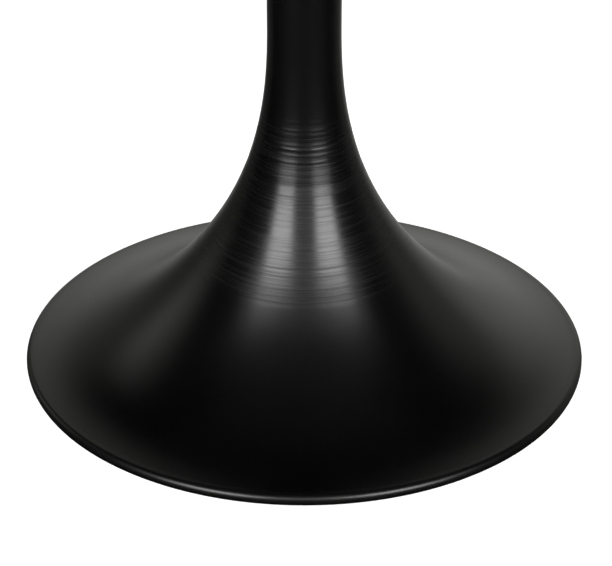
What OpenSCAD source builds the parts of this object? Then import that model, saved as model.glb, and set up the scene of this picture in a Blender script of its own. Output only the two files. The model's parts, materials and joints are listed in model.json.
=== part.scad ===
// Round pedestal table: two spun steel trumpets on a cast ballast, clamped by one tie rod,
// under a round top clad in spun steel. Millimetres, +Z up, origin on the floor at the table's axis.

/* [Table] */
// Height of the upper face of the top above the floor
table_h = 750; // [730:1:770]
// Diameter of the round top
top_d = 900; // [760:10:1100]
// Thickness of the top at its edge
top_t = 25; // [24:0.5:32]
// Sheet thickness of the skin and the backer of the top
sheet_t = 1.5; // [1:0.1:2]

/* [Base] */
// Diameter over the rolled rim of the base
base_d = 580; // [560:2:620]
// Outside radius of the rolled rim
bead_r = 6; // [5.5:0.25:7]
// Height of the rim's lowest point above the floor
rim_gap = 4; // [3:0.5:5]
// Slope of the base plate where it meets the rim, in degrees
edge_slope = 4.2; // [3:0.1:6]
// Diameter of the waist of the column
waist_d = 73; // [73:0.5:78]
// Wall of the two spun trumpets
shell_t = 1.5; // [1.2:0.1:1.6]
// Height where the lower flare has become the straight waist
waist_z = 375; // [365:1:390]
// Height of the seam between the two trumpets
seam_z = 425; // [420:1:430]

/* [Column] */
// Outside diameter of the load-bearing tube
tube_d = 60.3; // [58:0.1:62]
// Wall of the load-bearing tube
tube_wall = 3; // [2.5:0.1:4]
// Diameter of the tie rod
rod_d = 16; // [14:1:18]
// Diameter of the mounting plate under the top
plate_d = 320; // [310:5:360]
// Thickness of the mounting plate
plate_t = 6; // [5:0.5:8]

/* [Fixings] */
// Number of bolts between the plate and the top
bolt_count = 8; // [4:1:10]
// Pitch circle of the plate bolts
bolt_pcd = 270; // [260:5:290]
// Number of screws around the edge of the backer
screw_count = 12; // [6:1:18]

/* [Feet] */
// Distance of each foot from the table's axis
foot_reach = 200; // [190:1:205]
// Diameter of a foot pad
pad_d = 30; // [24:1:36]
// Travel of each foot screw below its rest position
foot_travel = 8; // [4:1:10]

/* [Hidden] */
FEET = [1, 2, 3, 4];

$fn = 96;
HEX = 6;                 // a circle with this $fn is a true hexagonal prism
ACROSS = cos(30);        // across-flats radius over across-corners radius of a hexagon
black_lacquer = [0.05, 0.05, 0.055];
black_rubber = [0.03, 0.03, 0.03];
cast_grey = [0.16, 0.16, 0.17];
zinc = [0.72, 0.72, 0.7];
steel = [0.45, 0.46, 0.48];
nylon = [0.85, 0.84, 0.8];
brass = [0.75, 0.6, 0.3];
board = [0.6, 0.48, 0.34];

fit = 0.05;              // radial clearance of a running or press fit
ease = 0.1;              // clearance between parts that are only stacked
cover = 1;               // how far a cutter runs past the face it cuts

// Base outline
base_r = base_d / 2;
waist_r = waist_d / 2;
bead_c = [base_r - bead_r, rim_gap + bead_r];
flare_start = bead_c + bead_r * [sin(edge_slope), cos(edge_slope)];
flare_steps = 28;
lower_flare = [
    flare_start,
    flare_start + 68 * [-cos(edge_slope), sin(edge_slope)],
    [base_r - 82, 36],
    [waist_r + 13.5, waist_z - 254.5],
    [waist_r, waist_z - 123],
    [waist_r, waist_z]
];
sheet_edge_a = 4;        // angle on the rim where the steel sheet ends and the trim begins
trim_top_a = 2;
trim_end_a = -185;
bead_steps = 14;
wire_r = bead_r - shell_t - ease;

// Heights of the stack
plate_z = table_h - top_t - plate_t;
top_z = table_h - top_t;
upper_start_z = seam_z + 45;
upper_flange_r = 96;
upper_flange_z = plate_z - shell_t - ease;
upper_flare = [
    [waist_r, upper_start_z],
    [waist_r, plate_z - 118],
    [waist_r + 1, plate_z - 24],
    [waist_r + 16, upper_flange_z],
    [upper_flange_r, upper_flange_z]
];

// Ballast
ballast_z = 15;          // underside
ballast_r = base_r - 54;
web_t = 14;              // thickness of the ballast between its hub and its outer ring
hub_r = 45;
hub_top_z = 72;
socket_z = 46;           // floor of the tube's socket
recess_r = 17.5;
tube_r = tube_d / 2;
tube_in_r = tube_r - tube_wall;
rod_r = rod_d / 2;

// Tie rod hardware, stacked upwards in the recess
rod_bottom_z = ballast_z + 0.5;
rod_nut_af = rod_d * 1.5;
rod_nut_h = 13;
rod_nut_z = ballast_z + 3;
spring_washer_t = 3.5;
rod_washer_t = 3;
spring_washer_z = rod_nut_z + rod_nut_h;
rod_washer_z = spring_washer_z + spring_washer_t;
recess_top_z = rod_washer_z + rod_washer_t;
spigot_len = 40;
rod_top_z = plate_z - 7;

// Top
top_r = top_d / 2;
edge_round = 8;          // radius of the upper edge
lip_round = 4;           // radius of the lower edge
lip_w = 15;              // width of the flange folded in under the top
backer_r = top_r - lip_w - 0.5;
core_z = top_z + sheet_t + ease;
core_top_z = table_h - sheet_t - ease;

// M8 fixings and M3.5 screws
m8_r = 4;
m8_clear_r = 4.5;
m8_af = 13;
m8_head_h = 5.3;
washer_r = 8;
washer_t = 1.6;
insert_r = 6;
insert_len = 15;
bolt_len = 25;
screw_head_r = 3.5;
screw_head_h = 1.8;
screw_r = 1.75;
screw_len = 15;
screw_ring_r = top_r - 30;

// Feet, in the foot's own frame at the table's underside
foot_turn = 45;          // first foot's direction from +X
pad_disc_h = 5;
pad_boss_r = 8;
pad_top_z = 7;
peg_r = 3.5;
peg_floor_z = 2;
air = 0.3;               // clearance between pieces that move apart
collar_z = pad_top_z + air;
collar_h = 3;
lock_nut_h = 4;
lock_nut_z = ballast_z - lock_nut_h;
stud_top_z = ballast_z + foot_travel + 10;

// Point at parameter t on the Bezier curve with control points p
function bezier(p, t) =
    len(p) == 1 ? p[0] : bezier([for (i = [0:len(p) - 2]) (1 - t) * p[i] + t * p[i + 1]], t);

// Unit direction of travel there
function heading(p, t) =
    let (d = bezier([for (i = [0:len(p) - 2]) p[i + 1] - p[i]], t)) d / norm(d);

// The same point moved to the left of the direction of travel, into the trumpet's hollow
function inside(p, t, depth) =
    let (d = heading(p, t)) bezier(p, t) + depth * [-d[1], d[0]];

function on_circle(c, r, a) = c + r * [cos(a), sin(a)];

// Points of an arc about c from angle a to angle b
function arc(c, r, a, b, steps) =
    [for (i = [0:steps]) on_circle(c, r, a + (b - a) * i / steps)];

// The flare at a depth below its outer face, from the rim up to the seam
function flare_line(p, depth) = [for (i = [0:flare_steps]) inside(p, i / flare_steps, depth)];

function backwards(list) = [for (i = [len(list) - 1:-1:0]) list[i]];

module ring(r_out, r_in, h) {
    difference() {
        cylinder(r = r_out, h = h);
        translate([0, 0, -cover]) cylinder(r = r_in, h = h + 2 * cover);
    }
}

module hexagon(across_flats, h) {
    cylinder(r = across_flats / 2 / ACROSS, h = h, $fn = HEX);
}

module hex_nut(across_flats, r_in, h) {
    difference() {
        hexagon(across_flats, h);
        translate([0, 0, -cover]) cylinder(r = r_in, h = h + 2 * cover);
    }
}

// Places its children count times on a circle of radius r
module around(count, r) {
    for (i = [0:count - 1]) rotate([0, 0, 360 * i / count]) translate([r, 0, 0]) children();
}

module at_foot(i) {
    rotate([0, 0, foot_turn + 90 * (i - 1)]) translate([foot_reach, 0, 0]) children();
}

module lower_trumpet() {
    top_a = 90 - edge_slope;
    color(black_lacquer) rotate_extrude() polygon(concat(
        arc(bead_c, bead_r - shell_t, sheet_edge_a, top_a, bead_steps),
        flare_line(lower_flare, shell_t),
        [[waist_r - shell_t, seam_z], [waist_r, seam_z]],
        backwards(flare_line(lower_flare, 0)),
        arc(bead_c, bead_r, top_a, sheet_edge_a, bead_steps)
    ));
}

module rim_wire() {
    color(steel) rotate_extrude() translate(bead_c) circle(r = wire_r);
}

// Rubber edging that clips round the lower half of the wire
module rim_trim() {
    color(black_rubber) rotate_extrude() polygon(concat(
        arc(bead_c, bead_r, trim_top_a, trim_end_a, 2 * bead_steps),
        arc(bead_c, bead_r - shell_t, trim_end_a, trim_top_a, 2 * bead_steps)
    ));
}

// Half section of the ballast, without its recess and foot holes
function ballast_section() = [
    [rod_r + 0.4, ballast_z],
    [ballast_r, ballast_z],
    [ballast_r, ballast_z + 4.5],
    [ballast_r - 36, ballast_z + 21],
    [ballast_r - 50, ballast_z + 21],
    [ballast_r - 66, ballast_z + web_t],
    [hub_r + 20, ballast_z + web_t],
    [hub_r + 4, ballast_z + 2 * web_t],
    [hub_r, hub_top_z],
    [tube_r + fit, hub_top_z],
    [tube_r + fit, socket_z],
    [rod_r + 0.4, socket_z]
];

module ballast() {
    color(cast_grey) difference() {
        rotate_extrude() polygon(ballast_section());
        translate([0, 0, ballast_z - cover]) cylinder(r = recess_r, h = recess_top_z - ballast_z + cover);
        for (i = FEET) at_foot(i) translate([0, 0, ballast_z - cover]) cylinder(r = m8_r + fit, h = 40);
    }
}

// Fills the gap between the ballast and the shell, so that the thin shell doesn't rattle
module damping_ring() {
    ring_in_r = ballast_r - 14;
    ring_w = 10;
    color(black_rubber) rotate_extrude() difference() {
        intersection() {
            polygon(concat(
                [[0, 0], [flare_start[0], 0]],
                flare_line(lower_flare, shell_t + ease),
                [[0, waist_z]]
            ));
            translate([ring_in_r, ballast_z + 1]) square([ring_w, 30]);
        }
        polygon(ballast_section());
    }
}

module column_tube() {
    color(steel) translate([0, 0, socket_z]) ring(tube_r, tube_in_r, plate_z - socket_z);
}

module tie_rod() {
    color(zinc) translate([0, 0, rod_bottom_z]) cylinder(r = rod_r, h = rod_top_z - rod_bottom_z);
}

module rod_nut() {
    color(zinc) translate([0, 0, rod_nut_z]) hex_nut(rod_nut_af, rod_r + fit, rod_nut_h);
}

module spring_washer() {
    color(zinc) translate([0, 0, spring_washer_z]) ring(rod_r + 5.7, rod_r + 0.25, spring_washer_t);
}

module rod_washer() {
    color(zinc) translate([0, 0, rod_washer_z]) ring(rod_r + 7, rod_r + 0.5, rod_washer_t);
}

// Nylon sleeve that centres both trumpets on the tube at their seam
module waist_sleeve() {
    half = 30;
    color(nylon) translate([0, 0, seam_z - half])
        ring(waist_r - shell_t - ease, tube_r + ease, 2 * half);
}

module upper_trumpet() {
    color(black_lacquer) rotate_extrude() polygon(concat(
        [[waist_r, seam_z]],
        flare_line(upper_flare, 0),
        backwards(flare_line(upper_flare, shell_t)),
        [[waist_r - shell_t, seam_z]]
    ));
}

// Round plate that the top is bolted to, with a centre hole for the tie rod
module mounting_plate() {
    color(black_lacquer) translate([0, 0, plate_z]) difference() {
        ring(plate_d / 2, rod_r + fit, plate_t);
        around(bolt_count, bolt_pcd / 2) translate([0, 0, -cover])
            cylinder(r = m8_clear_r, h = plate_t + 2 * cover);
    }
}

// Collar welded under the plate: it plugs into the tube and takes the tie rod's upper thread
module plate_spigot() {
    color(steel) translate([0, 0, plate_z - spigot_len])
        ring(tube_in_r - fit, rod_r + fit, spigot_len);
}

module plate_bolts() {
    color(zinc) around(bolt_count, bolt_pcd / 2) translate([0, 0, plate_z - washer_t]) {
        translate([0, 0, -m8_head_h]) hexagon(m8_af, m8_head_h);
        cylinder(r = m8_r, h = bolt_len);
    }
}

module plate_washers() {
    color(zinc) around(bolt_count, bolt_pcd / 2) translate([0, 0, plate_z - washer_t])
        ring(washer_r, m8_clear_r - 0.3, washer_t);
}

module threaded_inserts() {
    color(brass) around(bolt_count, bolt_pcd / 2) translate([0, 0, core_z])
        ring(insert_r, m8_r + fit, insert_len);
}

// Board disc inside the steel pan, chamfered where the pan's edges are round
module top_core() {
    edge_r = top_r - sheet_t - 0.2;
    color(board) difference() {
        rotate_extrude() polygon([
            [0, core_z],
            [top_r - lip_round - 1, core_z],
            [edge_r, core_z + 3.4],
            [edge_r, core_top_z - edge_round + 0.6],
            [top_r - edge_round - 1, core_top_z],
            [0, core_top_z]
        ]);
        around(bolt_count, bolt_pcd / 2) translate([0, 0, core_z - cover])
            cylinder(r = insert_r + fit, h = insert_len + 2.5 + cover);
        around(screw_count, screw_ring_r) translate([0, 0, core_z - cover])
            cylinder(r = screw_r + fit, h = screw_len + cover);
    }
}

// Spun pan: the visible face and edge of the top, folded in underneath
module top_skin() {
    upper_c = [top_r - edge_round, table_h - edge_round];
    lower_c = [top_r - lip_round, top_z + lip_round];
    color(black_lacquer) rotate_extrude() polygon(concat(
        [[0, table_h]],
        arc(upper_c, edge_round, 90, 0, 10),
        arc(lower_c, lip_round, 0, -90, 8),
        [[top_r - lip_w, top_z], [top_r - lip_w, top_z + sheet_t]],
        arc(lower_c, lip_round - sheet_t, -90, 0, 8),
        arc(upper_c, edge_round - sheet_t, 0, 90, 10),
        [[0, table_h - sheet_t]]
    ));
}

module top_backer() {
    color(black_lacquer) difference() {
        translate([0, 0, top_z]) cylinder(r = backer_r, h = sheet_t);
        around(bolt_count, bolt_pcd / 2) translate([0, 0, top_z - cover])
            cylinder(r = m8_clear_r, h = sheet_t + 2 * cover);
        around(screw_count, screw_ring_r) translate([0, 0, top_z - cover])
            cylinder(r = screw_r + fit, h = sheet_t + 2 * cover);
    }
}

module backer_screws() {
    color(zinc) around(screw_count, screw_ring_r) translate([0, 0, top_z]) {
        translate([0, 0, -screw_head_h]) cylinder(r = screw_head_r, h = screw_head_h);
        cylinder(r = screw_r, h = screw_len);
    }
}

module glide_lock_nuts() {
    color(zinc) for (i = FEET) at_foot(i) translate([0, 0, lock_nut_z])
        hex_nut(m8_af, m8_r + fit, lock_nut_h);
}

// Nylon foot with a blind socket for the screw's peg
module glide_pad() {
    color(nylon) difference() {
        union() {
            cylinder(d = pad_d, h = pad_disc_h);
            cylinder(r = pad_boss_r, h = pad_top_z);
        }
        translate([0, 0, peg_floor_z]) cylinder(r = peg_r + fit, h = pad_top_z);
    }
}

// Foot screw: peg, hexagonal collar and threaded shank
module glide_stud() {
    color(zinc) {
        translate([0, 0, peg_floor_z + air]) cylinder(r = peg_r, h = collar_z - peg_floor_z);
        translate([0, 0, collar_z]) hexagon(m8_af, collar_h);
        translate([0, 0, collar_z]) cylinder(r = m8_r, h = stud_top_z - collar_z);
    }
}

lower_trumpet();
rim_wire();
rim_trim();
ballast();
damping_ring();
column_tube();
tie_rod();
rod_nut();
spring_washer();
rod_washer();
waist_sleeve();
upper_trumpet();
mounting_plate();
plate_spigot();
plate_bolts();
plate_washers();
threaded_inserts();
top_core();
top_skin();
top_backer();
backer_screws();
glide_lock_nuts();
for (i = FEET) {
    at_foot(i) glide_pad();
    at_foot(i) glide_stud();
}
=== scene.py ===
import json
import math

import bpy
import numpy as np
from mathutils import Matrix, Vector


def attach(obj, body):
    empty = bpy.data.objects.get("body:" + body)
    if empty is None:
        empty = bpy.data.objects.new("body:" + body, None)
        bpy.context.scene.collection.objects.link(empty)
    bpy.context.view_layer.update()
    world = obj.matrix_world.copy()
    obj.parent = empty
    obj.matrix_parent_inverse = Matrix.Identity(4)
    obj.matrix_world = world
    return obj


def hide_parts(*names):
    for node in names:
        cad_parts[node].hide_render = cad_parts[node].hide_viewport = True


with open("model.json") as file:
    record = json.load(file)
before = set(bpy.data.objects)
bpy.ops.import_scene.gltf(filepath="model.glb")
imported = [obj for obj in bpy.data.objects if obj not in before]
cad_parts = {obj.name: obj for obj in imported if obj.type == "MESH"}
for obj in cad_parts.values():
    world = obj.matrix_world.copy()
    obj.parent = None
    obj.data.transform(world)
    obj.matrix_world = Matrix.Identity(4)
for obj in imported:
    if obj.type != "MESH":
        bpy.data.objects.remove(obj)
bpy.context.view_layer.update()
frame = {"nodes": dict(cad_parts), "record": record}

# Round pedestal table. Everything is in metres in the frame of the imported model: +Z up, the floor
# at 0, the table's axis at X = Y = 0. The design's own sizes are repeated here by name, because
# the visible shells are made again with their spun surface, rolled rim and threads.

MM = 0.001
TABLE = "table"

# Base. The angles are round the rim's bead, in degrees: how steeply the plate leaves it, where the
# sheet ends under it, and where the edging starts and ends.
BASE_R = 290 * MM
BEAD_R = 6 * MM
BEAD_C = (BASE_R - BEAD_R, 10 * MM)
EDGE_SLOPE = 4.2
SHEET_EDGE = 4.0
TRIM_TOP = 2.0
TRIM_END = -185.0
SHELL_T = 1.5 * MM
WAIST_R = 36.5 * MM
WAIST_Z = 375 * MM
SEAM_Z = 425 * MM
SEAM_CHAMFER = 0.35 * MM

# Upper trumpet
UPPER_START_Z = SEAM_Z + 45 * MM
FLANGE_R = 96 * MM
FLANGE_Z = 717.4 * MM
PLATE_Z = 719 * MM

# Top
TOP_R = 450 * MM
TOP_H = 750 * MM
TOP_UNDER = 725 * MM
SHEET_T = 1.5 * MM
EDGE_ROUND = 8 * MM
LIP_ROUND = 4 * MM
LIP_W = 15 * MM

# Fixings. AF is the width across the flats of a hexagon.
BOLT_COUNT = 8
BOLT_RING_R = 135 * MM
SCREW_COUNT = 12
SCREW_RING_R = 420 * MM
M8_AF = 13 * MM
M8_R = 4 * MM
M8_PITCH = 1.25 * MM
M16_AF = 24 * MM
M16_R = 8 * MM
M16_PITCH = 2 * MM

# Feet
FOOT_REACH = 200 * MM
FOOT_TURN = 45.0
FEET = (1, 2, 3, 4)

# Fineness of the meshes: points along an outline where it is measured, how much further apart a
# shell's rows are on its hidden inside, and steps round the axis
FINE_STEPS = 6000
INNER_COARSER = 9
LOWER_STEPS = 192
UPPER_STEPS = 256
TRIM_STEPS = 360
TOP_STEPS = 320


# ---------------------------------------------------------------- outlines, as (radius, height)

def bezier(points, steps):
    """Points along the Bezier curve with these control points."""
    t = np.linspace(0, 1, steps)[:, None]
    level = [np.array(p, float) + 0 * t for p in points]
    while len(level) > 1:
        level = [a * (1 - t) + b * t for a, b in zip(level, level[1:])]
    return level[0]


def arc(centre, radius, start, end, steps):
    """Points of an arc from angle start to angle end, in degrees."""
    a = np.radians(np.linspace(start, end, steps))
    return np.c_[centre[0] + radius * np.cos(a), centre[1] + radius * np.sin(a)]


def distances(line):
    """How far along the line each of its points is."""
    return np.r_[0, np.cumsum(np.linalg.norm(np.diff(line, axis=0), axis=1))]


def at_distances(line, along):
    """Points of the line at these distances along it."""
    s = distances(line)
    return np.c_[np.interp(along, s, line[:, 0]), np.interp(along, s, line[:, 1])]


def outward(line):
    """Unit normals on the right of the direction of travel."""
    d = np.gradient(line, axis=0)
    d /= np.linalg.norm(d, axis=1)[:, None]
    return np.c_[d[:, 1], -d[:, 0]]


def outward_at(line, along):
    """Normals of the line at these distances along it."""
    return np.c_[
        np.interp(along, distances(line), outward(line)[:, 0]),
        np.interp(along, distances(line), outward(line)[:, 1])]


def wave(distance, length, phase=0.0):
    """A sine wave of this length along a distance."""
    return np.sin(2 * math.pi * distance / length + phase)


def spaced(line, spacing):
    """Distances along the line, at steps that spacing(radius, height) gives for each place."""
    dense = at_distances(line, np.linspace(0, distances(line)[-1], FINE_STEPS))
    s = distances(dense)
    step = spacing(dense[:, 0], dense[:, 1])
    count = np.r_[0, np.cumsum(np.diff(s) / step[1:])]
    rows = int(math.ceil(count[-1])) + 1
    return np.interp(np.linspace(0, count[-1], rows), count, s)


def smooth(value, low, high):
    """0 below low, 1 above high, with a smooth rise between them."""
    t = np.clip((value - low) / (high - low), 0, 1)
    return t * t * (3 - 2 * t)


def between(value, band):
    """1 within a band, which is where the rise starts and ends, then where the fall does."""
    return smooth(value, band[0], band[1]) * (1 - smooth(value, band[2], band[3]))


def hump(value, middle, width):
    """1 at the middle, falling off smoothly to both sides."""
    return np.exp(-((value - middle) / width) ** 2)


# ---------------------------------------------------------------- meshes

def mesh_object(name, points, faces, sharp=30.0):
    """A smooth-shaded object, its faces turned outwards and its sharp edges marked."""
    points = np.asarray(points, float)
    mesh = bpy.data.meshes.new(name)
    mesh.from_pydata(points.tolist(), [], faces)
    corner = points[np.array([f[:3] for f in faces])]
    volume = np.einsum("ij,ij->i", corner[:, 0], np.cross(corner[:, 1], corner[:, 2])).sum()
    if volume < 0:
        mesh.flip_normals()
    mesh.shade_smooth()
    mesh.set_sharp_from_angle(angle=math.radians(sharp))
    obj = bpy.data.objects.new(name, mesh)
    bpy.context.scene.collection.objects.link(obj)
    return obj


def store(obj, name, values):
    """Keeps one number for each point of the object's mesh, for its material to read."""
    layer = obj.data.attributes.new(name, "FLOAT", "POINT")
    layer.data.foreach_set("value", np.asarray(values, np.float32))


def skin(name, grid, closed, rows=None, sharp=30.0):
    """Joins rings of points into a surface. grid[ring][step] is a point; each ring goes round the
    axis. A closed grid joins its last ring to its first; an open one is capped by a point at
    the middle of each end ring. rows holds named values for the rings, for the material."""
    rings, steps = grid.shape[:2]
    i = np.arange(rings if closed else rings - 1)[:, None]
    j = np.arange(steps)[None]
    here, up = i * steps, (i + 1) % rings * steps
    beside = (j + 1) % steps
    faces = np.stack([here + j, here + beside, up + beside, up + j], axis=2).reshape(-1, 4).tolist()
    points = grid.reshape(-1, 3)
    values = {key: np.repeat(row, steps) for key, row in (rows or {}).items()}
    if not closed:
        caps = [grid[0].mean(0), grid[-1].mean(0)]
        low, high = rings * steps, rings * steps + 1
        last = (rings - 1) * steps
        faces += [(int(b), int(a), low) for a, b in zip(j[0], beside[0])]
        faces += [(last + int(a), last + int(b), high) for a, b in zip(j[0], beside[0])]
        points = np.vstack([points, caps])
        values = {key: np.r_[value, value[0], value[-1]] for key, value in values.items()}
    obj = mesh_object(name, points, faces, sharp)
    for key, value in values.items():
        store(obj, key, value)
    return obj


def ring_grid(outline, steps, centre=(0, 0)):
    """The outline turned round the axis through centre."""
    a = np.arange(steps) * 2 * math.pi / steps
    r, z = outline[:, 0:1], outline[:, 1:2]
    return np.stack([centre[0] + r * np.cos(a), centre[1] + r * np.sin(a), z + 0 * a], axis=2)


def revolve(name, outline, steps, closed=True, rows=None, sharp=30.0):
    """The outline turned round the table's axis, as an object."""
    return skin(name, ring_grid(np.asarray(outline, float), steps), closed, rows, sharp)


def joined(name, parts):
    """One object from several, which are used up."""
    points, faces, start = [], [], 0
    for part in parts:
        co = np.zeros(len(part.data.vertices) * 3)
        part.data.vertices.foreach_get("co", co)
        points.append(co.reshape(-1, 3))
        faces += [[start + v for v in p.vertices] for p in part.data.polygons]
        start += len(part.data.vertices)
        bpy.data.objects.remove(part)
    obj = bpy.data.objects.new(name, bpy.data.meshes.new(name))
    obj.data.from_pydata(np.vstack(points).tolist(), [], faces)
    obj.data.shade_smooth()
    obj.data.set_sharp_from_angle(angle=math.radians(30))
    bpy.context.scene.collection.objects.link(obj)
    return obj


def on_circle(count, radius, first=0.0):
    """Places on a circle about the table's axis."""
    for k in range(count):
        a = math.radians(first + 360 * k / count)
        yield radius * math.cos(a), radius * math.sin(a)


# ---------------------------------------------------------------- node helpers

def put(tree, kind, inputs=None, **settings):
    """Adds a node, with settings on it and values or links on its inputs."""
    node = tree.nodes.new(kind)
    for key, value in settings.items():
        setattr(node, key, value)
    for key, value in (inputs or {}).items():
        if isinstance(value, bpy.types.NodeSocket):
            tree.links.new(value, node.inputs[key])
        else:
            node.inputs[key].default_value = value
    return node


def maths(tree, operation, a, b=0.0):
    """One sum on two values."""
    return put(tree, "ShaderNodeMath", {0: a, 1: b}, operation=operation).outputs[0]


def remap(tree, value, low, high, new_low, new_high):
    """Maps low..high to new_low..new_high and holds it there outside them."""
    values = {"Value": value, "From Min": low, "From Max": high, "To Min": new_low, "To Max": new_high}
    return put(tree, "ShaderNodeMapRange", values).outputs[0]


def noise(tree, vector, scale, detail=3.0, roughness=0.5):
    """Noise from 0 to 1, most of it between 0.3 and 0.7."""
    values = {"Vector": vector, "Scale": scale, "Detail": detail, "Roughness": roughness}
    return put(tree, "ShaderNodeTexNoise", values).outputs["Fac"]


def blend_colours(tree, amount, first, second):
    """The first colour where amount is 0, the second where it is 1."""
    node = put(tree, "ShaderNodeMix", {0: amount, 6: first, 7: second}, data_type="RGBA")
    return node.outputs[2]


def bump(tree, height, distance, under=None):
    """A normal for relief, whose height is in units of distance, laid over another normal."""
    values = {"Height": height, "Distance": distance, "Strength": 1.0}
    if under is not None:
        values["Normal"] = under
    return put(tree, "ShaderNodeBump", values).outputs[0]


def grey(level, tint=(1.0, 1.0, 1.0)):
    """A grey, or one tinted a little."""
    return (level * tint[0], level * tint[1], level * tint[2], 1.0)


WHITE = grey(1.0)


def material_tree(name, **constants):
    """A node material and its Principled shader, with its constant sockets set."""
    material = bpy.data.materials.new(name)
    material.use_nodes = True
    shader = material.node_tree.nodes["Principled BSDF"]
    for key, value in constants.items():
        shader.inputs[key.replace("_", " ")].default_value = value
    return material, material.node_tree, shader


def drive(tree, shader, colour, roughness, normal):
    """Links what varies over the surface to the shader."""
    for key, value in (("Base Color", colour), ("Roughness", roughness), ("Normal", normal)):
        tree.links.new(value, shader.inputs[key])


def object_point(tree):
    """The place on the object, in metres."""
    return put(tree, "ShaderNodeTexCoord").outputs["Object"]


def scaled_point(tree, scale):
    """The place on the object, with each of its coordinates scaled."""
    node = put(tree, "ShaderNodeVectorMath", {0: object_point(tree), 1: scale}, operation="MULTIPLY")
    return node.outputs[0]


def surface_value(tree, name):
    """A value that the mesh keeps for each of its points."""
    return put(tree, "ShaderNodeAttribute", attribute_name=name).outputs["Fac"]


def turning_point(tree, round_scale, across, across_scale):
    """A place for noise that runs round the axis: it changes slowly with the angle, at
    round_scale, and fast with across, which is a distance across the rings."""
    xyz = put(tree, "ShaderNodeSeparateXYZ", {0: object_point(tree)})
    flat = scaled_point(tree, (1.0, 1.0, 0.0))
    radius = put(tree, "ShaderNodeVectorMath", {0: flat}, operation="LENGTH").outputs["Value"]
    parts = {
        "X": maths(tree, "MULTIPLY", maths(tree, "DIVIDE", xyz.outputs["X"], radius), round_scale),
        "Y": maths(tree, "MULTIPLY", maths(tree, "DIVIDE", xyz.outputs["Y"], radius), round_scale),
        "Z": maths(tree, "MULTIPLY", across, across_scale),
    }
    return put(tree, "ShaderNodeCombineXYZ", parts).outputs[0]


# ---------------------------------------------------------------- materials

LACQUER_BLACK = grey(0.003, (0.97, 0.98, 1.0))
LACQUER_WORN = grey(0.006, (1.0, 0.98, 0.94))
DUST = grey(0.03)


def spun_lacquer(name, roughness, ring_height, smoother, specular):
    """Satin black lacquer over spun steel: rings that the tool left, broken brush lines along
    them, soft clouds and dust specks. The surface gives the place across the rings as along,
    how hard the metal was worked there as work, and how thick the lacquer lies as gloss, both
    from 0 to 1. Where the lacquer is thick, smoother is taken off the roughness."""
    ring_scale = 210.0
    line_scale = 560.0
    cloud_scale = 14.0
    dust_scale = 800.0
    line_height = 0.085 * ring_height
    material, tree, shader = material_tree(
        name, Metallic=0.0, IOR=1.5, Anisotropic=0.1, Anisotropic_Rotation=0.25,
        Specular_IOR_Level=specular)
    along = surface_value(tree, "along")
    work = surface_value(tree, "work")
    thick = surface_value(tree, "gloss")
    rings = noise(tree, turning_point(tree, 0.35, along, ring_scale), 1.0, 3.0, 0.6)
    lines = noise(tree, turning_point(tree, 0.8, along, line_scale), 1.0, 3.0, 0.6)
    clouds = noise(tree, object_point(tree), cloud_scale, 3.0, 0.55)
    specks = noise(tree, object_point(tree), dust_scale, 1.0, 0.4)
    dust = remap(tree, specks, 0.765, 0.81, 0.0, 0.6)
    worn = maths(tree, "MULTIPLY", remap(tree, lines, 0.4, 0.8, 0.0, 1.0), work)
    base = blend_colours(tree, worn, LACQUER_BLACK, LACQUER_WORN)
    dusty = blend_colours(tree, dust, base, DUST)
    streaks = maths(tree, "MULTIPLY", remap(tree, lines, 0.42, 0.62, -0.02, 0.085), work)
    patches = remap(tree, clouds, 0.3, 0.7, roughness - 0.012, roughness + 0.018)
    gained = maths(tree, "MULTIPLY", thick, smoother)
    finish = maths(tree, "SUBTRACT", maths(tree, "ADD", patches, streaks), gained)
    height = maths(tree, "MULTIPLY", rings, remap(tree, work, 0.0, 1.0, 0.05, 1.0))
    hair = maths(tree, "MULTIPLY", lines, remap(tree, work, 0.0, 1.0, 0.12, 1.0))
    coarse = bump(tree, height, ring_height)
    fine = bump(tree, hair, line_height, under=coarse)
    tangent = put(tree, "ShaderNodeTangent", direction_type="RADIAL", axis="Z").outputs[0]
    tree.links.new(tangent, shader.inputs["Tangent"])
    drive(tree, shader, dusty, finish, fine)
    return material


def powder_coat():
    """Fine-textured black powder coat with an orange-peel surface."""
    material, tree, shader = material_tree("powder_coat", IOR=1.5)
    peel = noise(tree, object_point(tree), 1300.0, 2.0, 0.5)
    clouds = noise(tree, object_point(tree), 22.0, 3.0, 0.5)
    colour = blend_colours(tree, clouds, grey(0.010), grey(0.018, (1.0, 1.0, 1.03)))
    drive(tree, shader, colour, remap(tree, peel, 0.3, 0.7, 0.42, 0.58), bump(tree, peel, 0.06 * MM))
    return material


def rubber():
    """Matt extruded rubber with drawing lines along it and a bloom of dust."""
    material, tree, shader = material_tree("edge_rubber", IOR=1.5, Specular_IOR_Level=0.06)
    xyz = put(tree, "ShaderNodeSeparateXYZ", {0: object_point(tree)})
    drawn = noise(tree, turning_point(tree, 4.0, xyz.outputs["Z"], 2200.0), 1.0, 3.0, 0.6)
    grain = noise(tree, object_point(tree), 1500.0, 2.0, 0.6)
    bloom = noise(tree, object_point(tree), 35.0, 4.0, 0.6)
    clean = grey(0.0015, (1.0, 0.93, 0.84))
    dusty = grey(0.005, (1.0, 0.95, 0.88))
    relief = bump(tree, grain, 0.05 * MM, under=bump(tree, drawn, 0.12 * MM))
    drive(tree, shader, blend_colours(tree, bloom, clean, dusty),
          remap(tree, bloom, 0.3, 0.7, 0.62, 0.78), relief)
    return material


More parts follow.
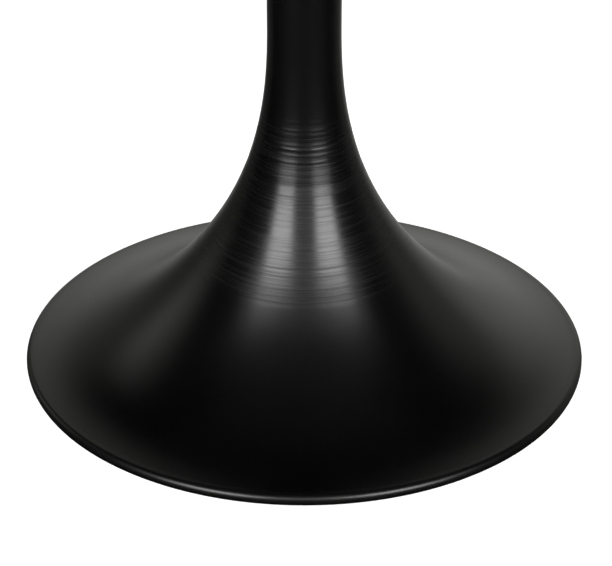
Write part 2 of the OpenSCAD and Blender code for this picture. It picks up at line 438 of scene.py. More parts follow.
def cast_iron():
    """Sand-cast iron dipped in dark primer, with a few rusty pores."""
    material, tree, shader = material_tree("cast_iron", IOR=1.5)
    sand = noise(tree, object_point(tree), 420.0, 4.0, 0.65)
    lumps = noise(tree, object_point(tree), 45.0, 3.0, 0.5)
    pores = remap(tree, noise(tree, object_point(tree), 160.0, 2.0, 0.5), 0.66, 0.72, 0.0, 1.0)
    primer = blend_colours(tree, lumps, grey(0.030, (0.95, 0.98, 1.0)), grey(0.060, (0.97, 0.99, 1.0)))
    rust = (0.065, 0.028, 0.014, 1.0)
    relief = bump(tree, sand, 0.4 * MM, under=bump(tree, lumps, 1.2 * MM))
    drive(tree, shader, blend_colours(tree, pores, primer, rust),
          remap(tree, sand, 0.3, 0.7, 0.55, 0.8), relief)
    return material


def plated_steel(name, first, second, roughness):
    """Turned metal, plated or bare: faint tool lines, a cloudy tone and small stains."""
    material, tree, shader = material_tree(name, Metallic=1.0)
    lines = noise(tree, scaled_point(tree, (1.0, 1.0, 12.0)), 70.0, 3.0, 0.6)
    clouds = noise(tree, object_point(tree), 130.0, 4.0, 0.6)
    stains = remap(tree, noise(tree, object_point(tree), 420.0, 2.0, 0.5), 0.62, 0.72, 0.0, 0.7)
    tone = blend_colours(tree, clouds, first, second)
    stain = tuple(0.45 * c for c in first[:3]) + (1.0,)
    cloudy = remap(tree, clouds, 0.3, 0.7, roughness - 0.06, roughness + 0.08)
    finish = maths(tree, "ADD", cloudy, maths(tree, "MULTIPLY", stains, 0.15))
    drive(tree, shader, blend_colours(tree, stains, tone, stain), finish, bump(tree, lines, 0.04 * MM))
    return material


def moulded(name, first, second, roughness, grain_height):
    """Moulded nylon with a fine spark-eroded grain."""
    material, tree, shader = material_tree(name, IOR=1.53)
    grain = noise(tree, object_point(tree), 1700.0, 2.0, 0.6)
    flow = noise(tree, object_point(tree), 60.0, 3.0, 0.5)
    drive(tree, shader, blend_colours(tree, flow, first, second),
          remap(tree, grain, 0.3, 0.7, roughness - 0.06, roughness + 0.08),
          bump(tree, grain, grain_height))
    return material


def fibreboard():
    """Raw fibreboard: short pressed fibres in a few browns."""
    material, tree, shader = material_tree("fibreboard", IOR=1.45)
    stretched = scaled_point(tree, (1.0, 1.0, 6.0))
    fibres = noise(tree, stretched, 500.0, 5.0, 0.7)
    flecks = remap(tree, noise(tree, stretched, 1400.0, 2.0, 0.5), 0.62, 0.7, 0.0, 0.6)
    tone = blend_colours(tree, fibres, (0.40, 0.29, 0.18, 1.0), (0.60, 0.48, 0.34, 1.0))
    colour = blend_colours(tree, flecks, tone, (0.22, 0.14, 0.08, 1.0))
    drive(tree, shader, colour, remap(tree, fibres, 0.3, 0.7, 0.75, 0.95), bump(tree, fibres, 0.2 * MM))
    return material


def floor_material():
    """A plain pale studio floor, bright enough to run into the backdrop."""
    return material_tree(
        "studio_floor", Roughness=1.0, Specular_IOR_Level=0.0, Base_Color=grey(0.82),
        Emission_Color=WHITE, Emission_Strength=0.75)[0]


MATERIALS = {
    "base_lacquer": spun_lacquer("base_lacquer", 0.235, 0.13 * MM, -0.09, 0.5),
    "top_lacquer": spun_lacquer("top_lacquer", 0.52, 0.10 * MM, 0.15, 0.25),
    "plate_paint": powder_coat(),
    "edge_rubber": rubber(),
    "cast_iron": cast_iron(),
    "bare_steel": plated_steel("bare_steel", (0.36, 0.36, 0.36, 1), (0.46, 0.46, 0.45, 1), 0.38),
    "zinc_steel": plated_steel("zinc_steel", (0.60, 0.62, 0.62, 1), (0.70, 0.70, 0.66, 1), 0.30),
    "black_zinc": plated_steel("black_zinc", (0.030, 0.031, 0.034, 1), (0.052, 0.052, 0.052, 1), 0.36),
    "brass": plated_steel("brass", (0.68, 0.49, 0.20, 1), (0.76, 0.57, 0.27, 1), 0.32),
    "nylon": moulded("nylon", (0.76, 0.75, 0.69, 1), (0.84, 0.83, 0.78, 1), 0.45, 0.04 * MM),
    "foot_nylon": moulded(
        "foot_nylon", (0.020, 0.020, 0.020, 1), (0.034, 0.034, 0.033, 1), 0.48, 0.07 * MM),
    "board": fibreboard(),
}


def finish_piece(obj, slot, body, *nodes):
    """Gives a new piece its material, the body it rides on and the nodes it stands for."""
    obj.data.materials.append(MATERIALS[slot])
    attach(obj, body)
    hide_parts(*nodes)
    return obj


# ---------------------------------------------------------------- pedestal

# Where the roller's work shows on the lower trumpet, as heights for between()
FLANK_WORK = (118 * MM, 126 * MM, 268 * MM, 290 * MM)
NECK_WORK = (200 * MM, 235 * MM, 268 * MM, 292 * MM)

# Waves that the roller's passes left along the outline, as (length in millimetres, phase, share)
LOWER_PASSES = ((7.3, 0.3, 0.8), (4.1, 1.7, 1.0), (2.9, 4.1, 0.8), (2.1, 2.2, 0.5))
UPPER_PASSES = ((6.7, 0.4, 1.0), (4.1, 2.3, 1.0), (2.9, 5.0, 1.0))

# How high the waves are for their length: on the lower trumpet, how much more than that at the
# foot of its flank, and on the upper trumpet
LOWER_WAVE = 0.0022
FLANK_WAVE = 0.0034
UPPER_WAVE = 0.0045

# Single raised lines, and one groove, on the lower trumpet, as (height, width, rise) in millimetres
ROLLER_MARKS = (
    (123, 1.0, 0.030), (128, 1.3, 0.022), (142, 1.2, 0.020), (150, 1.1, 0.022), (217, 1.3, 0.035),
    (225, 4.0, -0.130), (247.3, 1.0, 0.045), (254, 1.0, 0.085), (259.8, 1.1, 0.155), (264.5, 0.9, 0.070),
    (274, 1.0, 0.070), (278.6, 0.9, 0.085), (287, 1.2, 0.045), (292, 1.1, 0.020))


def worked(height):
    """How hard the roller worked the lower trumpet at each height, from 0 to 1: the plate and
    the column are smooth, the flank has fine rings, and the neck, where the metal was gathered
    in, has the deepest."""
    return 0.75 * between(height, FLANK_WORK) + 0.25 * between(height, NECK_WORK)


def roller_waves(along, passes):
    """The sum of some passes' waves, each as high as its share of its length, in metres."""
    return MM * sum(share * length * wave(along, length * MM, phase) for length, phase, share in passes)


def lower_ridges(along, height):
    """How far the roller left the lower trumpet's surface out or in: fine waves, faint on the
    plate and the column and highest at the foot of the flank, and the single marks."""
    beat = 0.6 + 0.4 * wave(along, 31 * MM, 0.8)
    steepness = LOWER_WAVE + FLANK_WAVE * hump(height, 155 * MM, 20 * MM)
    waves = roller_waves(along, LOWER_PASSES) * steepness * (0.04 + worked(height) * beat)
    marks = sum(rise * hump(height / MM, at, math.sqrt(2) * width) for at, width, rise in ROLLER_MARKS)
    return waves + MM * marks


def shell_outline(outer, thickness, spacing, ridges):
    """Closed outline of a spun shell from its outer line, with the roller's ridges on its outside
    only, and each point's distance along the outer line."""
    along = spaced(outer, spacing)
    line = at_distances(outer, along)
    dense = at_distances(outer, np.linspace(0, distances(outer)[-1], FINE_STEPS))
    line += ridges(along, line[:, 1])[:, None] * outward_at(dense, along)
    inner_along = spaced(outer, lambda r, z: INNER_COARSER * spacing(r, z))[::-1]
    inner = at_distances(outer, inner_along) - thickness * outward_at(dense, inner_along)
    return np.vstack([line, inner]), np.r_[along, inner_along]


def lower_outer_line():
    """Outer face of the lower trumpet: the rolled rim, the sweep up to the waist, the seam. The
    sweep's first leg leaves the rim in the direction in which the rim's arc ends."""
    first_leg = 68 * MM
    slope = math.radians(EDGE_SLOPE)
    rim = arc(BEAD_C, BEAD_R, SHEET_EDGE, 90 - EDGE_SLOPE, 60)
    start = rim[-1]
    sweep = bezier([
        start,
        start + first_leg * np.array([-math.cos(slope), math.sin(slope)]),
        (BASE_R - 82 * MM, 36 * MM),
        (WAIST_R + 13.5 * MM, WAIST_Z - 254.5 * MM),
        (WAIST_R, WAIST_Z - 123 * MM),
        (WAIST_R, WAIST_Z),
    ], 900)
    neck = [(WAIST_R, SEAM_Z - SEAM_CHAMFER), (WAIST_R - SEAM_CHAMFER, SEAM_Z)]
    return np.vstack([rim, sweep[1:], neck])


# The gap between rows of the lower trumpet's mesh, as (from this height up, gap) in millimetres:
# the plate, the flank with its ridged foot, the ridged neck and the column. The rim has its own.
LOWER_ROWS = ((0, 3.4), (70, 1.6), (117, 0.75), (156, 1.6), (205, 0.5), (298, 1.6), (330, 4.0))
RIM_ROW = 0.5 * MM
RIM_W = 12 * MM


def lower_spacing(r, z):
    """Close rows on the rim, the foot of the flank and the ridged neck, wider ones elsewhere."""
    heights, gaps = np.array(LOWER_ROWS).T * MM
    gap = gaps[np.searchsorted(heights, z) - 1]
    return np.where(r > BASE_R - RIM_W, RIM_ROW, gap)


def make_lower_trumpet():
    """The spun shell from the base plate to the seam, with its rougher lacquer on the rim."""
    outline, along = shell_outline(lower_outer_line(), SHELL_T, lower_spacing, lower_ridges)
    radius, height = outline.T
    rows = {
        "along": along,
        "work": worked(height),
        "gloss": smooth(radius, BASE_R - 13 * MM, BASE_R - 4 * MM),
    }
    obj = revolve("pedestal_lower_shell", outline, LOWER_STEPS, rows=rows, sharp=50)
    return finish_piece(obj, "base_lacquer", TABLE, "lower_trumpet")


def upper_outer_line():
    """Outer face of the upper trumpet: the seam, the column and the flare out to its flange."""
    sweep = bezier([
        (WAIST_R, UPPER_START_Z),
        (WAIST_R, PLATE_Z - 118 * MM),
        (WAIST_R + 1 * MM, PLATE_Z - 24 * MM),
        (WAIST_R + 16 * MM, FLANGE_Z),
        (FLANGE_R, FLANGE_Z),
    ], 600)
    foot = [(WAIST_R - SEAM_CHAMFER, SEAM_Z), (WAIST_R, SEAM_Z + SEAM_CHAMFER)]
    return np.vstack([foot, sweep])


def upper_worked(height):
    """Roller passes on the upper flare, with a smooth column below it."""
    return 0.6 * between(height, (600 * MM, 640 * MM, 708 * MM, 715 * MM))


def upper_ridges(along, height):
    """How far the roller left the upper trumpet's surface out or in."""
    return roller_waves(along, UPPER_PASSES) * UPPER_WAVE * (0.03 + upper_worked(height))


def upper_spacing(r, z):
    """Close rows on the flare, wider ones on the column."""
    return np.where(z > 590 * MM, 0.8 * MM, 1.6 * MM)


def make_upper_trumpet():
    """The spun shell from the seam to the mounting plate. Its inside stays clear of the tube where
    the seam's chamfer turns it inwards."""
    outline, along = shell_outline(upper_outer_line(), SHELL_T, upper_spacing, upper_ridges)
    outline[:, 0] = np.maximum(outline[:, 0], WAIST_R - SHELL_T)
    rows = {"along": along, "work": upper_worked(outline[:, 1]), "gloss": 0 * along}
    obj = revolve("pedestal_upper_shell", outline, UPPER_STEPS, rows=rows, sharp=50)
    return finish_piece(obj, "base_lacquer", TABLE, "upper_trumpet")


def make_rim_trim():
    """Rubber edging: a split channel with rounded ends and three shallow drawn grooves, two along
    its outside and one on its inside."""
    groove_depth = 0.16 * MM
    groove_w = 4.5
    end_cut = 0.35 * MM
    end_w = 7
    angle = np.linspace(TRIM_TOP, TRIM_END, 76)
    groove = sum(hump(angle, at, groove_w) for at in (-24, -48, -150))
    from_end = smooth(angle, TRIM_END, TRIM_END + end_w)
    from_top = 1 - smooth(angle, TRIM_TOP - end_w, TRIM_TOP)
    radius = BEAD_R - groove_depth * groove - end_cut * (1 - np.minimum(from_end, from_top))
    a = np.radians(angle)
    outer = np.c_[BEAD_C[0] + radius * np.cos(a), BEAD_C[1] + radius * np.sin(a)]
    inner = arc(BEAD_C, BEAD_R - SHELL_T, TRIM_END, TRIM_TOP, 30)
    obj = revolve("rim_edging", np.vstack([outer, inner]), TRIM_STEPS, sharp=40)
    return finish_piece(obj, "edge_rubber", TABLE, "rim_trim")


# ---------------------------------------------------------------- top

def top_spacing(r, z):
    """Close rows round the pan's edge, wider ones across its face."""
    return np.where(r > TOP_R - 10 * MM, 0.7 * MM, 2.6 * MM)


def turned_rings(along):
    """How far the turned rings of the top's face lie below its highest level."""
    broad = 0.012 * MM
    narrow = 0.006 * MM
    rings = broad * wave(along, 17 * MM) + narrow * np.sin(along / (1.3 * MM))
    return broad + narrow + rings


def make_top_skin():
    """The spun pan: upper face with its fine turned rings, round edges and folded lip."""
    middle = 0.4 * MM
    bevel = 0.3 * MM
    upper = (TOP_R - EDGE_ROUND, TOP_H - EDGE_ROUND)
    lower = (TOP_R - LIP_ROUND, TOP_UNDER + LIP_ROUND)
    lip = TOP_R - LIP_W
    outer = np.vstack([
        [(middle, TOP_H)],
        arc(upper, EDGE_ROUND, 90, 0, 24),
        arc(lower, LIP_ROUND, 0, -90, 16),
        [(lip + bevel, TOP_UNDER), (lip, TOP_UNDER + bevel)],
    ])
    inner = np.vstack([
        [(lip, TOP_UNDER + SHEET_T)],
        arc(lower, LIP_ROUND - SHEET_T, -90, 0, 10),
        arc(upper, EDGE_ROUND - SHEET_T, 0, 90, 12),
        [(middle, TOP_H - SHEET_T)],
    ])
    along = spaced(outer, top_spacing)
    line = at_distances(outer, along)
    flat = 1 - smooth(line[:, 0], TOP_R - 30 * MM, TOP_R - 12 * MM)
    line[:, 1] -= flat * turned_rings(along)
    hidden = np.zeros(len(inner))
    rows = {
        "along": np.r_[along, hidden + along[-1]],
        "work": np.r_[0.5 * flat + 0.1, hidden],
        "gloss": np.r_[1 - flat, hidden],
    }
    outline = np.vstack([line, inner])
    obj = revolve("table_top_pan", outline, TOP_STEPS, closed=False, rows=rows, sharp=40)
    return finish_piece(obj, "top_lacquer", TABLE, "top_skin")


# ---------------------------------------------------------------- fasteners

def hexagon_radius(angle, across_flats):
    """Distance from the middle of a hexagon to its side, in each direction."""
    folded = (angle + math.pi / 6) % (math.pi / 3) - math.pi / 6
    return across_flats / 2 / np.cos(folded)


def hex_head(name, across_flats, low, high, centre, bore=0.0, steps=96):
    """A hexagon head or nut with the curved chamfers that turning leaves on its corners. A nut
    has a bore, with a lead at both ends."""
    edge = 0.12 * MM
    lead = 0.5 * MM
    middle = 0.2 * MM
    a = np.arange(steps) * 2 * math.pi / steps
    side = hexagon_radius(a + math.pi / 6, across_flats)
    face_r = across_flats / 2 * 0.96
    drop = np.maximum(side - face_r, 0) * math.tan(math.radians(30))

    def row(radius, height):
        """One ring, with a radius and a height that may vary round it."""
        radius = radius + 0 * a
        height = height + 0 * a
        return np.stack([centre[0] + radius * np.cos(a), centre[1] + radius * np.sin(a), height], axis=1)

    rows = [
        row(face_r, low),
        row(side - edge, low + drop),
        row(side, low + drop + edge),
        row(side, high - drop - edge),
        row(side - edge, high - drop),
        row(face_r, high),
    ]
    if bore:
        rows += [row(bore + lead, high), row(bore, high - lead)]
        rows += [row(bore, low + lead), row(bore + lead, low)]
        return skin(name, np.array(rows), True, sharp=28)
    rows = [row(middle, low)] + rows + [row(middle, high)]
    return skin(name, np.array(rows), False, sharp=28)


def threaded_rod(name, radius, pitch, low, high, centre, threads=None, steps=40, row_height=None):
    """A rod with tapered ends and a helical thread along the given stretches, or all along. A
    tooth is a V with a flat crest and root, and its rows are close together only where it is."""
    depth = 0.61 * pitch
    taper = 0.8 * pitch
    run_out = 0.5 * pitch
    plain_row = 12 * MM
    end_row = 0.01 * MM
    threads = threads or [(low, high)]
    row_height = row_height or pitch / 9
    levels = [low]
    while levels[-1] < high:
        inside = any(start - pitch <= levels[-1] <= end + pitch for start, end in threads)
        levels.append(levels[-1] + (row_height if inside else plain_row))
    z = np.minimum(np.array(levels), high)[:, None]
    a = (np.arange(steps) * 2 * math.pi / steps)[None]
    phase = (z / pitch - a / (2 * math.pi)) % 1.0
    tooth = np.clip(np.abs(phase - 0.5) * 2 * 1.35 - 0.12, 0, 1)
    share = sum(between(z, (start - run_out, start + run_out, end - run_out, end + run_out))
                for start, end in threads)
    share = np.where((z < low + end_row) | (z > high - end_row), 1.0, share)
    r = radius - depth * tooth * np.clip(share, 0, 1)
    r = r - np.maximum(0, taper - (z - low)) * 0.5 - np.maximum(0, taper - (high - z)) * 0.5
    grid = np.stack([centre[0] + r * np.cos(a), centre[1] + r * np.sin(a), z + 0 * r], axis=2)
    return skin(name, grid, False, sharp=50)


def washer_outline(bore, radius, low, high, soft=0.2 * MM):
    """Section of a washer with broken corners, turned round the axis."""
    return [
        (bore, low + soft), (bore + soft, low), (radius - soft, low), (radius, low + soft),
        (radius, high - soft), (radius - soft, high), (bore + soft, high), (bore, high - soft),
    ]


def make_plate_fixings():
    """The eight bolts that hold the top to its plate, and their washers. The heads stop a
    little short of the washers, so that no two faces lie in one plane."""
    washer_t = 1.6 * MM
    head_h = 5.3 * MM
    head_gap = 0.25 * MM
    length = 25 * MM
    plain = 7 * MM
    under = PLATE_Z - washer_t
    tip = under + length
    ring = np.array(washer_outline(4.2 * MM, 8 * MM, under, PLATE_Z))
    bolts = []
    washers = []
    for place in on_circle(BOLT_COUNT, BOLT_RING_R):
        bolts.append(hex_head("head", M8_AF, under - head_h, under - head_gap, place))
        bolts.append(threaded_rod(
            "shank", M8_R, M8_PITCH, under - 0.3 * MM, tip, place, [(under + plain, tip)],
            steps=20, row_height=0.25 * MM))
        washers.append(skin("washer", ring_grid(ring, 40, place), True))
    finish_piece(joined("plate_bolt_set", bolts), "black_zinc", TABLE, "plate_bolts")
    finish_piece(joined("plate_washer_set", washers), "black_zinc", TABLE, "plate_washers")


def cross_screw(centre, steps=72):
    """A pan-head screw under the top: a domed head with a cross recess, a plain shank and a tip."""
    head_r = 3.5 * MM
    head_h = 1.8 * MM
    shank_r = 1.75 * MM
    length = 15 * MM
    tip = 3 * MM
    recess = 1.15 * MM
    a = (np.arange(steps) * 2 * math.pi / steps)[None]
    radii = np.r_[np.linspace(0.06, 0.74, 16), 0.82, 0.9, 0.96, 0.99, 1.0][:, None] * head_r
    dome = head_h * (1 - 0.55 * (radii / head_r) ** 4)
    x, y = radii * np.cos(a), radii * np.sin(a)
    narrow = np.minimum(np.abs(x), np.abs(y))
    wide = np.maximum(np.abs(x), np.abs(y))
    across_arm = 1 - smooth(narrow, 0.34 * MM, 0.5 * MM)
    along_arm = 1 - smooth(wide, 1.65 * MM, 1.9 * MM)
    z = TOP_UNDER - dome + recess * (across_arm * along_arm)
    face = np.stack([centre[0] + x, centre[1] + y, z], axis=2)
    back = [
        (head_r, TOP_UNDER), (shank_r, TOP_UNDER), (shank_r, TOP_UNDER + length - tip),
        (0.1 * MM, TOP_UNDER + length),
    ]
    grid = np.concatenate([face, ring_grid(np.array(back), steps, centre)])
    return skin("screw", grid, False, sharp=35)


def make_backer_screws():
    """The screws round the edge of the top's backing sheet."""
    screws = [cross_screw(place) for place in on_circle(SCREW_COUNT, SCREW_RING_R)]
    finish_piece(joined("backer_screw_set", screws), "black_zinc", TABLE, "backer_screws")


def split_washer(low, high, soft):
    """A spring washer, clamped flat, with the narrow gap at which it is split."""
    half_gap = math.radians(5)
    section = np.array(washer_outline(8.25 * MM, 13.7 * MM, low, high, soft))
    turn = np.linspace(half_gap, 2 * math.pi - half_gap, 90)
    rows = [np.c_[section[:, 0] * math.cos(t), section[:, 0] * math.sin(t), section[:, 1]] for t in turn]
    return skin("tie_rod_spring_washer", np.array(rows), False)


def make_rod_hardware():
    """Tie rod with threaded ends, and under the ballast its nut, split spring washer and thick
    washer, from the bottom up."""
    rod_low = 15.5 * MM
    rod_high = 712 * MM
    nut_low = 18 * MM
    spring_low = 31 * MM
    washer_low = 34.5 * MM
    washer_high = 37.5 * MM
    soft = 0.3 * MM
    axis = (0, 0)
    threads = [(rod_low, 45 * MM), (680 * MM, rod_high)]
    rod = threaded_rod("tie_rod_threaded", M16_R, M16_PITCH, rod_low, rod_high, axis, threads, steps=48)
    finish_piece(rod, "zinc_steel", TABLE, "tie_rod")
    nut = hex_head("tie_rod_nut", M16_AF, nut_low, spring_low, axis, bore=8.05 * MM, steps=120)
    finish_piece(nut, "zinc_steel", TABLE, "rod_nut")
    finish_piece(split_washer(spring_low, washer_low, soft), "zinc_steel", TABLE, "spring_washer")
    outline = washer_outline(8.5 * MM, 15 * MM, washer_low, washer_high, soft)
    finish_piece(revolve("tie_rod_washer", outline, 96), "zinc_steel", TABLE, "rod_washer")


# ---------------------------------------------------------------- feet

# Section of a foot's pad from the middle of its sole to the floor of its socket, as (radius,
# height, depth of the scallops) in millimetres
PAD_OUTLINE = (
    (0.2, 0.35, 0), (9.0, 0.35, 0), (9.6, 0, 0), (14.2, 0, 0), (14.7, 0.25, 0), (15.0, 0.8, 0.15),
    (15.0, 1.3, 0.5), (15.0, 3.9, 0.5), (14.8, 4.5, 0.35), (14.3, 4.9, 0.1), (13.4, 5.0, 0),
    (12.6, 4.7, 0), (9.2, 4.3, 0), (8.2, 4.6, 0), (8.0, 5.0, 0), (8.0, 6.6, 0), (7.6, 7.0, 0),
    (4.1, 7.0, 0), (3.55, 6.5, 0), (3.55, 2.0, 0), (0.2, 2.0, 0))


def make_pad(number, place):
    """A moulded foot: scalloped grip round its edge, dished top, boss with a blind socket."""
    scallops = 24
    steps = 6 * scallops
    a = (np.arange(steps) * 2 * math.pi / steps)[None]
    r, z, cut = (np.array(PAD_OUTLINE).T * MM)[:, :, None]
    radius = r - cut * (0.5 + 0.5 * np.cos(scallops * a))
    x = place[0] + radius * np.cos(a)
    y = place[1] + radius * np.sin(a)
    grid = np.stack([x, y, z + 0 * radius], axis=2)
    pad = skin(f"foot_pad_{number}", grid, False, sharp=35)
    finish_piece(pad, "foot_nylon", f"foot_{number}", f"glide_pad_{number}")


def make_stud(number, place):
    """Foot screw: plain peg, chamfered hexagonal collar and a threaded shank."""
    collar_low = 7.3 * MM
    collar_high = 10.3 * MM
    top = 33 * MM
    peg = np.array([(0.1, 2.3), (3.1, 2.3), (3.5, 2.7), (3.5, 7.4), (0.1, 7.4)]) * MM
    parts = [
        skin("peg", ring_grid(peg, 48, place), False),
        hex_head("collar", M8_AF, collar_low, collar_high, place),
        threaded_rod("shank", M8_R, M8_PITCH, collar_high - 0.2 * MM, top, place, steps=48),
    ]
    stud = joined(f"foot_screw_{number}", parts)
    finish_piece(stud, "zinc_steel", f"screw_{number}", f"glide_stud_{number}")


def make_feet():
    """The four feet, each on its own two bodies, and the lock nuts, which stay with the table."""
    nut_low = 11 * MM
    nut_high = 15 * MM
    nuts = []
    for number, place in zip(FEET, on_circle(len(FEET), FOOT_REACH, FOOT_TURN)):
        make_pad(number, place)
        make_stud(number, place)
        nuts.append(hex_head("nut", M8_AF, nut_low, nut_high, place, bore=4.05 * MM))
    finish_piece(joined("foot_lock_nut_set", nuts), "zinc_steel", TABLE, "glide_lock_nuts")


# ---------------------------------------------------------------- carried-over design nodes

def dress_nodes():
    """Gives each node that stays its finish, by the slot that the record names for it."""
    for entry in frame["record"]["subparts"]:
        obj = frame["nodes"][entry["node"]]
        if not obj.hide_render:
            obj.data.materials.clear()
            obj.data.materials.append(MATERIALS[entry["material_slot"]])


# ---------------------------------------------------------------- studio

CAMERA_ELEVATION = 29.37
CAMERA_DISTANCE = 2.4
CAMERA_TARGET = Vector((0, 0, 0.0842))
CAMERA_SENSOR = 36.0
CAMERA_LENS = 136.45
CAMERA_SHIFT = 0.0028
LIGHT_TARGET = Vector((0, 0, 0.15))
BLACK_POINT = 0.003
FLOOR_REACH = 12.0


def direction(azimuth, elevation):
    """Azimuth 0 points at the camera's side, and positive ones to its right, in degrees."""
    a, e = math.radians(azimuth), math.radians(elevation)
    return Vector((math.sin(a) * math.cos(e), -math.cos(a) * math.cos(e), math.sin(e)))


def make_camera():
    """A long lens that looks down on the base, with the column running out of the frame."""
    data = bpy.data.cameras.new("camera")
    data.sensor_width = CAMERA_SENSOR
    data.lens = CAMERA_LENS
    data.shift_x = CAMERA_SHIFT
    camera = bpy.data.objects.new("camera", data)
    back = direction(0, CAMERA_ELEVATION)
    camera.location = CAMERA_TARGET + CAMERA_DISTANCE * back
    camera.rotation_mode = "QUATERNION"
    camera.rotation_quaternion = (-back).to_track_quat("-Z", "Y")
    bpy.context.scene.collection.objects.link(camera)
    bpy.context.scene.camera = camera


def softbox(name, azimuth, elevation, distance, width, height, radiance, shape="RECTANGLE"):
    """An area light that faces the base, given by how bright its face looks."""
    data = bpy.data.lights.new(name, "AREA")
    data.shape = shape
    data.size = width
    data.size_y = height
    area = width * height * (math.pi / 4 if shape == "DISK" else 1.0)
    data.energy = radiance * area * math.pi
    light = bpy.data.objects.new(name, data)
    towards = direction(azimuth, elevation)
    light.location = LIGHT_TARGET + distance * towards
    light.rotation_mode = "QUATERNION"
    light.rotation_quaternion = (-towards).to_track_quat("-Z", "Y")
    light.visible_camera = False
    bpy.context.scene.collection.objects.link(light)


def ramp(tree, value, stops):
    """A colour ramp through grey levels, given as (position, level)."""
    node = put(tree, "ShaderNodeValToRGB", {"Fac": value})
    points = node.color_ramp.elements
    while len(points) > 1:
        points.remove(points[-1])
    points[0].position, points[0].color = stops[0][0], grey(stops[0][1])
    for position, level in stops[1:]:
        points.new(position).color = grey(level)
    return node.outputs["Color"]


# What the lacquer mirrors, as (degrees, brightness): round the room from behind the table, by the
# left, the front and the right, and from straight below to overhead; then a window behind it on
# the left.
ROOM_ROUND = (
    (-180, 0.92), (-170, 0.84), (-163, 0.62), (-154, 0.28), (-145, 0.16), (-125, 0.18), (-103, 0.03),
    (-72, 0.06), (-50, 0.10), (0, 0.08), (50, 0.10), (72, 0.06), (88, 0.04), (104, 0.13), (117, 0.30),
    (134, 0.25), (147, 0.56), (158, 0.72), (168, 1.02), (180, 0.92))
ROOM_HEIGHT = (
    (-90, 0.22), (-28, 0.47), (-17, 0.41), (-6, 0.44), (3, 0.68), (11, 0.92), (19, 1.0), (27, 0.92),
    (34, 0.54), (39, 0.30), (44, 0.13), (50, 0.06), (58, 0.03), (90, 0.02))
WINDOW_ROUND = ((-138, 0.0), (-126, 0.54), (-114, 0.32), (-101, 0.0))
WINDOW_HEIGHT = ((2, 0.0), (12, 0.40), (21, 1.0), (29, 0.95), (36, 0.5), (46, 0.0))

# The lights that stand on both sides, as (name, azimuth, elevation, distance, width, height,
# brightness): a bright one, a wide dim one behind it that softens its edge, and a faint one
# further round.
SIDE_LIGHTS = (
    ("softbox", 33.0, 24.3, 1.8, 0.86, 0.70, 7.6),
    ("scrim", 34.0, 24.0, 1.85, 1.15, 1.3, 1.3),
    ("veil", 55.0, 33.0, 1.9, 0.62, 0.5, 0.5))


def combined(tree, blend, first, second):
    """Two colours added or multiplied."""
    node = put(tree, "ShaderNodeMix", {0: 1.0, 6: first, 7: second}, data_type="RGBA", blend_type=blend)
    return node.outputs[2]


def glow(tree, turn, up, round_levels, height_levels):
    """Brightness by direction: a level for the angle round the room times one for the height."""
    sideways = ramp(tree, remap(tree, turn, -math.pi, math.pi, 0.0, 1.0), [
        ((azimuth + 180) / 360, level) for azimuth, level in round_levels])
    upwards = ramp(tree, remap(tree, up, -1.0, 1.0, 0.0, 1.0), [
        ((math.sin(math.radians(elevation)) + 1) / 2, level) for elevation, level in height_levels])
    return combined(tree, "MULTIPLY", sideways, upwards)


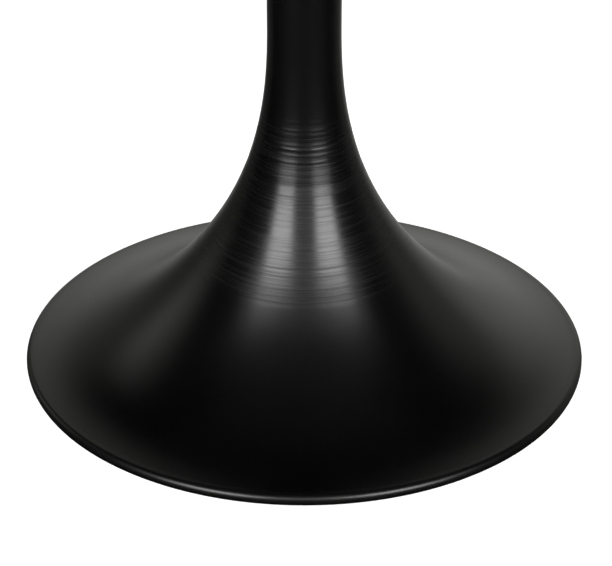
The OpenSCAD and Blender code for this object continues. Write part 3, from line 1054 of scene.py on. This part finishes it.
def make_world():
    """A white backdrop, which lights the table only softly. What the lacquer mirrors is the room
    round it: bright behind the table, dim at its sides and in front, and dark overhead, with a
    dim strip high up straight behind."""
    world = bpy.data.worlds.new("studio")
    world.use_nodes = True
    tree = world.node_tree
    tree.nodes.clear()
    ray = put(tree, "ShaderNodeSeparateXYZ", {0: put(tree, "ShaderNodeTexCoord").outputs["Generated"]})
    up = ray.outputs["Z"]
    front = maths(tree, "MULTIPLY", ray.outputs["Y"], -1.0)
    turn = maths(tree, "ARCTAN2", ray.outputs["X"], front)
    room = combined(tree, "ADD", glow(tree, turn, up, ROOM_ROUND, ROOM_HEIGHT),
                    glow(tree, turn, up, WINDOW_ROUND, WINDOW_HEIGHT))
    tint = combined(tree, "MULTIPLY", room, (1.0, 1.0, 0.95, 1.0))
    straight_behind = remap(tree, maths(tree, "COSINE", turn), -0.998, -0.978, 1.0, 0.0)
    strip = maths(tree, "MULTIPLY", straight_behind, remap(tree, up, 0.47, 0.60, 0.0, 0.85))
    mirrored = put(tree, "ShaderNodeBackground", {
        "Color": tint, "Strength": maths(tree, "SUBTRACT", 1.0, strip)})
    plain = put(tree, "ShaderNodeBackground", {"Color": WHITE, "Strength": 1.0})
    soft = put(tree, "ShaderNodeBackground", {"Color": WHITE, "Strength": 0.3})
    path = put(tree, "ShaderNodeLightPath")
    seen = put(tree, "ShaderNodeMixShader", {
        0: path.outputs["Is Camera Ray"], 1: soft.outputs[0], 2: plain.outputs[0]})
    mixed = put(tree, "ShaderNodeMixShader", {
        0: path.outputs["Is Glossy Ray"], 1: seen.outputs[0], 2: mirrored.outputs[0]})
    put(tree, "ShaderNodeOutputWorld", {"Surface": mixed.outputs[0]})
    bpy.context.scene.world = world


def make_floor():
    """A plain floor. It isn't mirrored: what the lacquer mirrors from below is in the world."""
    corners = [(x * FLOOR_REACH, y * FLOOR_REACH, 0) for x, y in ((-1, -1), (1, -1), (1, 1), (-1, 1))]
    floor = mesh_object("studio_floor", corners, [(0, 1, 2, 3)])
    floor.data.materials.append(floor_material())
    floor.visible_glossy = False


def set_view():
    """Plain tones, with the faintest greys taken down to black."""
    view = bpy.context.scene.view_settings
    view.view_transform = "Standard"
    view.use_curve_mapping = True
    view.curve_mapping.black_level = (BLACK_POINT,) * 3
    view.curve_mapping.update()


def make_lights():
    """The same lights on both sides, a dim one in front of the table and one overhead."""
    for side, name in ((-1, "left"), (1, "right")):
        for kind, azimuth, *rest in SIDE_LIGHTS:
            softbox(f"{kind}_{name}", side * azimuth, *rest)
    softbox("scrim_middle", 0.0, 29.0, 1.85, 0.9, 1.2, 0.7)
    softbox("overhead", 0.0, 90.0, 2.7, 0.9, 0.9, 1.2, "DISK")


make_camera()
make_lower_trumpet()
make_upper_trumpet()
make_rim_trim()
make_top_skin()
make_plate_fixings()
make_backer_screws()
make_rod_hardware()
make_feet()
dress_nodes()
make_world()
make_floor()
make_lights()
set_view()
